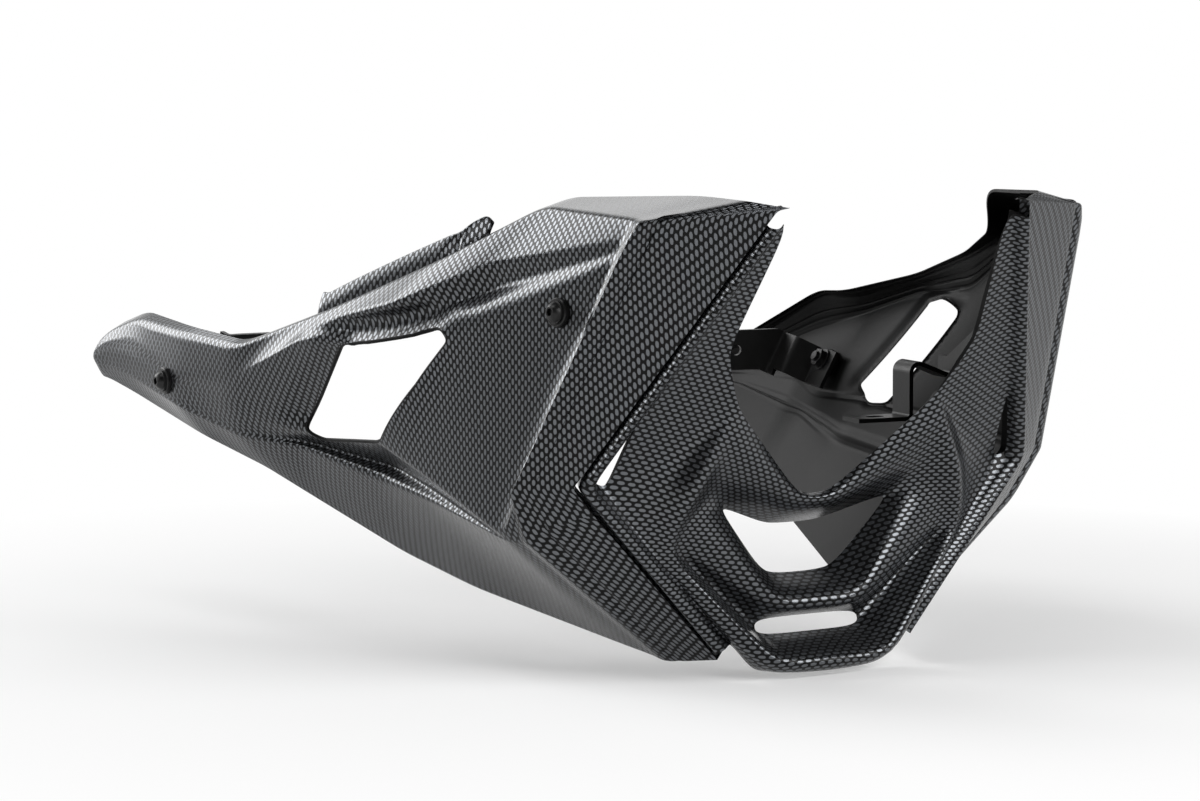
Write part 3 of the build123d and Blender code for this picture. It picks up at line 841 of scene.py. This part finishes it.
def unwrap(piece):
    """Lays the film on a piece: flat, the right size, with its rows level."""
    bpy.context.view_layer.objects.active = piece
    piece.select_set(True)
    piece.data.uv_layers.new(name="film")
    bpy.ops.object.mode_set(mode="EDIT")
    bpy.ops.mesh.select_all(action="SELECT")
    bpy.ops.uv.unwrap(method="CONFORMAL", margin=0.0)
    bpy.ops.object.mode_set(mode="OBJECT")
    piece.select_set(False)
    mesh = piece.data
    film = np.empty(len(mesh.loops) * 2)
    mesh.uv_layers["film"].data.foreach_get("uv", film)
    film = film.reshape(-1, 2)
    points = np.array([vertex.co[:] for vertex in mesh.vertices])[loop_points(mesh)]
    quads = np.arange(len(points)).reshape(-1, 4)
    flat = film[quads]
    first = flat[:, 2] - flat[:, 0]
    second = flat[:, 3] - flat[:, 1]
    flat_area = np.abs(first[:, 0] * second[:, 1] - first[:, 1] * second[:, 0]).sum() / 2
    solid = points[quads]
    first = solid[:, 2] - solid[:, 0]
    second = solid[:, 3] - solid[:, 1]
    real_area = np.linalg.norm(np.cross(first, second), axis=1).sum() / 2
    film -= film.mean(axis=0)
    across = points[:, 0] - points[:, 0].mean()
    level = unit(film.T @ across)
    turned = np.stack([film @ level, film @ np.array([-level[1], level[0]])], axis=1)
    turned *= math.sqrt(real_area / flat_area)
    mesh.uv_layers["film"].data.foreach_set("uv", turned.ravel())


def front_panel(materials):
    """The mask-like front panel: arms, three nested bars and its rim."""
    points, faces, rounding = split_net(*front_net())
    piece = new_piece("front_panel_skin", faired(points, faces, rounding), faces, materials)
    unwrap(piece)
    thicken(piece)
    return piece


def lip(materials):
    """Raised lip along the inner edge of the right panel's flange."""
    rows = [panel_rows(station, flange_lift) for station in right_stations]
    path = []
    for k, share, rise, bulge in lip_places:
        edge = between(rows[k][0], rows[k + 1][0], share)
        fold = between(rows[k][1], rows[k + 1][1], share)
        out = unit(fold - edge)
        root = edge + out * lip_wall - [0, 0, wall]
        top = edge + [lip_wall - rise * lip_lean, 0, rise]
        path.append(np.concatenate([top, root, out * bulge]))
    path = np.array(path)
    knots = distance_along(path[:, :3])
    places = np.linspace(0, knots[-1], int(knots[-1] / lip_cell))
    lines = bent_line(knots, path, places).reshape(-1, 3, 3)
    columns = []
    for share in np.linspace(0, 1, lip_steps):
        swell = lines[:, 2] * math.sin(math.pi * share)
        columns.append(between(lines[:, 0], lines[:, 1], share) + swell)
    grid = np.stack(columns, axis=1)
    film = film_coordinates(grid, 0, 0).reshape(-1, 2)
    points, faces = mirrored(grid.reshape(-1, 3), grid_faces(*grid.shape[:2]))
    piece = new_piece("right_panel_lip", points, faces, materials, film)
    solid = piece.modifiers.new("wall", "SOLIDIFY")
    solid.thickness = lip_wall * MM
    solid.offset = -1
    round_edges(piece, edge_round, panel_edge_angle)
    return piece


def round_boss(place, radius, low, high):
    """A round boss on a seat, from one height above it to another, as points and faces."""
    origin, axes = place
    steps = boss_steps
    angles = np.arange(steps) * 2 * math.pi / steps
    circle = np.stack([np.cos(angles), np.sin(angles)], axis=1) * radius
    points = np.vstack([origin + circle @ axes[:2] + axes[2] * level for level in (low, high)])
    faces = [[k, (k + 1) % steps, steps + (k + 1) % steps, steps + k] for k in range(steps)]
    faces += [list(range(steps))[::-1], list(range(steps, steps * 2))]
    return points, faces


def tongue(place, forward, rearward):
    """A flat tongue behind a seam boss, as points and faces."""
    origin, axes = place
    top = -wall - boss_height
    spots = []
    for level in (top - tongue_thickness, top):
        for along, up in ((-forward, -1), (rearward, -1), (rearward, 1), (-forward, 1)):
            spots.append(origin + axes[0] * along + axes[1] * up * tongue_half_width + axes[2] * level)
    faces = [[3, 2, 1, 0], [4, 5, 6, 7], [0, 1, 5, 4], [1, 2, 6, 5], [2, 3, 7, 6], [3, 0, 4, 7]]
    return np.array(spots), faces


def mounting(name, shapes, materials):
    """Bosses or tongues of a panel as one piece with rounded edges."""
    points, faces = [], []
    for shape_points, shape_faces in shapes:
        faces += [[number + len(points) for number in face] for face in shape_faces]
        points += list(shape_points)
    piece = new_piece(name, points, faces, materials)
    round_edges(piece, edge_round / 2, detail_edge_angle)
    return piece


def new_material(name):
    """A node material with its shader and its node tree."""
    material = bpy.data.materials.new(name)
    material.use_nodes = True
    return material, material.node_tree.nodes["Principled BSDF"], material.node_tree


def math_node(tree, operation, first, second=None):
    """A Math node on a value and another value or link."""
    node = tree.nodes.new("ShaderNodeMath")
    node.operation = operation
    for socket, value in zip(node.inputs, (first, second)):
        if value is None:
            continue
        if isinstance(value, (int, float)):
            socket.default_value = value
        else:
            tree.links.new(value, socket)
    return node.outputs[0]


def ramp_node(tree, value, stops, *sockets):
    """A colour ramp through stops of (position, grey or colour), linked to sockets."""
    node = tree.nodes.new("ShaderNodeValToRGB")
    tree.links.new(value, node.inputs["Fac"])
    elements = node.color_ramp.elements
    while len(elements) < len(stops):
        elements.new(0.5)
    for element, (position, tone) in zip(elements, stops):
        element.position = position
        element.color = (*tone, 1.0) if isinstance(tone, tuple) else (tone, tone, tone, 1.0)
    for socket in sockets:
        tree.links.new(node.outputs["Color"], socket)
    return node.outputs["Color"]


def set_constants(shader, constants):
    """Sets plain values on a shader's own sockets."""
    for socket, value in constants.items():
        shader.inputs[socket].default_value = value


def noise_node(tree, scale, detail):
    """Noise over the object's own coordinates."""
    place = tree.nodes.new("ShaderNodeTexCoord")
    node = tree.nodes.new("ShaderNodeTexNoise")
    tree.links.new(place.outputs["Object"], node.inputs["Vector"])
    node.inputs["Scale"].default_value = scale
    node.inputs["Detail"].default_value = detail
    return node.outputs["Fac"]


def bump_node(tree, shader, height, distance, strength):
    """Bump on a shader from a height."""
    node = tree.nodes.new("ShaderNodeBump")
    node.inputs["Distance"].default_value = distance
    node.inputs["Strength"].default_value = strength
    tree.links.new(height, node.inputs["Height"])
    tree.links.new(node.outputs["Normal"], shader.inputs["Normal"])


def dot_distance(tree, long_axis, period, spacing, dot_length, dot_width):
    """Distance from the middle of the film's nearest dot; every second line is half a period further on."""
    place = tree.nodes.new("ShaderNodeUVMap")
    place.uv_map = "film"
    parts = tree.nodes.new("ShaderNodeSeparateXYZ")
    tree.links.new(place.outputs["UV"], parts.inputs["Vector"])
    long_place = parts.outputs["X" if long_axis == "across" else "Y"]
    short_place = parts.outputs["Y" if long_axis == "across" else "X"]
    lines = math_node(tree, "MULTIPLY", short_place, 1 / (spacing * MM))
    turns = math_node(tree, "MULTIPLY", long_place, 1 / (period * MM))
    odd = math_node(tree, "FLOORED_MODULO", math_node(tree, "FLOOR", lines), 2.0)
    turns = math_node(tree, "ADD", turns, math_node(tree, "MULTIPLY", odd, 0.5))
    reaches = []
    for value, size in ((turns, period / (dot_length / 2)), (lines, spacing / (dot_width / 2))):
        centred = math_node(tree, "SUBTRACT", math_node(tree, "FRACT", value), 0.5)
        scaled = math_node(tree, "MULTIPLY", centred, size)
        reach = math_node(tree, "ABSOLUTE", scaled)
        reaches.append(math_node(tree, "POWER", reach, dot_power))
    return math_node(tree, "ADD", *reaches)


def film_material(name, dots):
    """Dark satin film with silvery dots, whose edges a fine noise breaks up."""
    material, shader, tree = new_material(name)
    away = dot_distance(tree, **dots)
    blotch = noise_node(tree, *blotch_noise)
    away = math_node(tree, "ADD", away, math_node(tree, "MULTIPLY", blotch, blotch_share))
    away = math_node(tree, "MULTIPLY", away, dot_scale)
    inner, outer = dot_edge
    ramp_node(tree, away, [(inner, dot_colour), (outer, ground_grey)], shader.inputs["Base Color"])
    metal = ramp_node(tree, away, [(inner, dot_metal), (outer, ground_metal)], shader.inputs["Metallic"])
    rough_stops = [(inner, dot_roughness), (outer, ground_roughness)]
    ramp_node(tree, away, rough_stops, shader.inputs["Roughness"])
    set_constants(shader, film_constants)
    bump_node(tree, shader, metal, *film_bump)
    return material


def plain_material(name, look):
    """Dark surface with a soft change of tone, and a fine grain in its roughness and bump."""
    material, shader, tree = new_material(name)
    cloud = noise_node(tree, *look["tone_noise"])
    grain = noise_node(tree, *look["grain_noise"])
    ramp_node(tree, cloud, look["tones"], shader.inputs["Base Color"])
    ramp_node(tree, grain, look["roughness"], shader.inputs["Roughness"])
    set_constants(shader, look["constants"])
    bump_node(tree, shader, grain, *look["bump"])
    return material


def dress_node(name, material, size):
    """Material and softened edges for a piece that keeps its solid."""
    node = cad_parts[name]
    node.data.materials.clear()
    node.data.materials.append(material)
    round_edges(node, size, detail_edge_angle, node_edge_steps)


def distance_from(tree, point):
    """Distance of the shaded place from a point."""
    place = tree.nodes.new("ShaderNodeNewGeometry")
    node = tree.nodes.new("ShaderNodeVectorMath")
    node.operation = "DISTANCE"
    node.inputs[1].default_value = point
    tree.links.new(place.outputs["Position"], node.inputs[0])
    return node.outputs["Value"]


def floor_material():
    """Floor that keeps the object's shadow, fades to plain white further away and has a grey patch of
    painted shade in its glow.
    """
    material, shader, tree = new_material("white_floor")
    output = tree.nodes["Material Output"]
    tree.nodes.remove(shader)
    paint = tree.nodes.new("ShaderNodeBsdfDiffuse")
    ramp_node(tree, noise_node(tree, *floor_noise), floor_tones, paint.inputs["Color"])
    path = tree.nodes.new("ShaderNodeLightPath")
    seen = math_node(tree, "MAXIMUM", path.outputs["Is Camera Ray"], path.outputs["Is Glossy Ray"])
    seen = math_node(tree, "MAXIMUM", seen, path.outputs["Is Transmission Ray"])
    away = math_node(tree, "MULTIPLY", distance_from(tree, (0.0, 0.0, 0.0)), 1 / white_reach)
    share = math_node(tree, "MULTIPLY", seen, ramp_node(tree, away, white_shares))
    glow = tree.nodes.new("ShaderNodeEmission")
    # Painted shade: the glow turns grey round a patch left of the object, so the right panel's main face
    # mirrors it darker
    ramp_node(tree, distance_from(tree, painted_shade_middle), painted_shade_greys, glow.inputs["Color"])
    mix = tree.nodes.new("ShaderNodeMixShader")
    tree.links.new(share, mix.inputs["Fac"])
    tree.links.new(paint.outputs["BSDF"], mix.inputs[1])
    tree.links.new(glow.outputs["Emission"], mix.inputs[2])
    tree.links.new(mix.outputs["Shader"], output.inputs["Surface"])
    return material


def make_stage(name, corners, material):
    """A flat floor or backdrop."""
    mesh = bpy.data.meshes.new(name)
    mesh.from_pydata(corners, [], [[0, 1, 2, 3]])
    mesh.materials.append(material)
    flat = bpy.data.objects.new(name, mesh)
    bpy.context.collection.objects.link(flat)


def make_studio():
    """A wide floor under the lowest point, a white backdrop far behind, and dim light all round."""
    white = floor_material()
    level = cad_box[0][2] - floor_gap
    signs = [(-1, -1), (1, -1), (1, 1), (-1, 1)]
    corners = [(across * floor_reach, along * floor_reach, level) for across, along in signs]
    make_stage("floor", corners, white)
    foot = [(*backdrop_near, level), (*backdrop_far, level)]
    head = [(*backdrop_far, backdrop_top), (*backdrop_near, backdrop_top)]
    make_stage("backdrop", foot + head, white)
    world = bpy.data.worlds.new("studio")
    bpy.context.scene.world = world
    world.use_nodes = True
    world.node_tree.nodes["Background"].inputs["Strength"].default_value = world_strength


def make_light(name, place, target, size, power):
    """A soft rectangular light that faces a point."""
    lamp = bpy.data.lights.new(name, "AREA")
    lamp.shape = "RECTANGLE"
    lamp.size, lamp.size_y = size
    lamp.energy = power
    light = bpy.data.objects.new(name, lamp)
    light.location = place
    light.rotation_euler = (Vector(target) - Vector(place)).to_track_quat("-Z", "Y").to_euler()
    bpy.context.collection.objects.link(light)


def make_camera():
    """The photograph's camera, with a long lens, low and in front of the right panel."""
    camera = bpy.data.cameras.new("camera")
    camera.sensor_width = camera_sensor
    camera.lens = camera_lens
    camera.clip_end = camera_reach
    turn = math.radians(camera_turn)
    dip = math.radians(camera_dip)
    holder = bpy.data.objects.new("camera", camera)
    holder.location = camera_place
    look = Vector((-math.sin(turn) * math.cos(dip), math.cos(turn) * math.cos(dip), -math.sin(dip)))
    holder.rotation_euler = look.to_track_quat("-Z", "Y").to_euler()
    bpy.context.collection.objects.link(holder)
    bpy.context.scene.camera = holder


side_film = film_material("side_film", side_dots)
front_film = film_material("front_film", front_dots)
plastic = plain_material("moulded_plastic", plastic_look)

front_seat = seat(face_edges(crease), face_edges(right_stations[0]), **front_screw)
right_rear_seat = seat(face_edges(right_stations[4]), face_edges(right_stations[5]), **right_rear_screw)
left_rear_seat = seat(face_edges(left_stations[4]), face_edges(left_stations[5]), **left_rear_screw)
seam_seats = [seat(face_edges(front_edge), face_edges(crease), seam_along, down) for down in seam_downs]

# Panels, with film outside and plain plastic inside
right_skin = pocket_stations + right_stations[3:]
side_layers = [side_film, plastic]
panels = {
    "right_side_panel": side_panel("right_side_panel_skin", right_skin, right_window, True, side_layers),
    "left_side_panel": side_panel("left_side_panel_skin", left_stations, left_window, False, side_layers),
    "front_panel": front_panel([front_film, plastic]),
}
for node, panel in panels.items():
    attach(panel, "root")
    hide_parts(node)

# Bosses, pads and tongues, made on the left side and mirrored to the right
bosses = [round_boss(place, boss_radius, -wall - boss_height, -wall / 2) for place in seam_seats]
screw_seats = (front_seat, right_rear_seat, left_rear_seat)
pads = [round_boss(place, pad_radius, -wall - pad_inner, pad_proud) for place in screw_seats]
front_pad, right_pad, left_pad = pads
rear_reach = boss_radius + seam_gap
tongues = []
for place, down in zip(seam_seats, seam_downs):
    edge = between(*face_edges(front_edge), down)
    front_reach = np.linalg.norm(place[0] - edge) + seam_gap + wall / 2
    tongues.append(tongue(place, front_reach, rear_reach))
right_bosses = [mirrored(*shape) for shape in (*bosses, front_pad, right_pad)]
details = [
    mounting("right_panel_bosses", right_bosses, [plastic]),
    mounting("left_panel_bosses", [*bosses, front_pad, left_pad], [plastic]),
    mounting("front_panel_tongues", tongues + [mirrored(*shape) for shape in tongues], [plastic]),
    lip([side_film]),
]
for piece in details:
    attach(piece, "root")

powder_coat = plain_material("powder_coat", powder_look)
black_steel = plain_material("black_steel", steel_look)
for name in ("right_front_bracket", "left_front_bracket", "right_rear_bracket", "left_rear_bracket"):
    dress_node(name, powder_coat, bracket_edge)
for name in ("panel_screws", "cup_washers", "panel_nuts", "seam_screws", "seam_washers"):
    dress_node(name, black_steel, fastener_edge)

make_studio()
for light in lights:
    make_light(*light)
make_camera()
bpy.context.scene.view_settings.view_transform = "Standard"
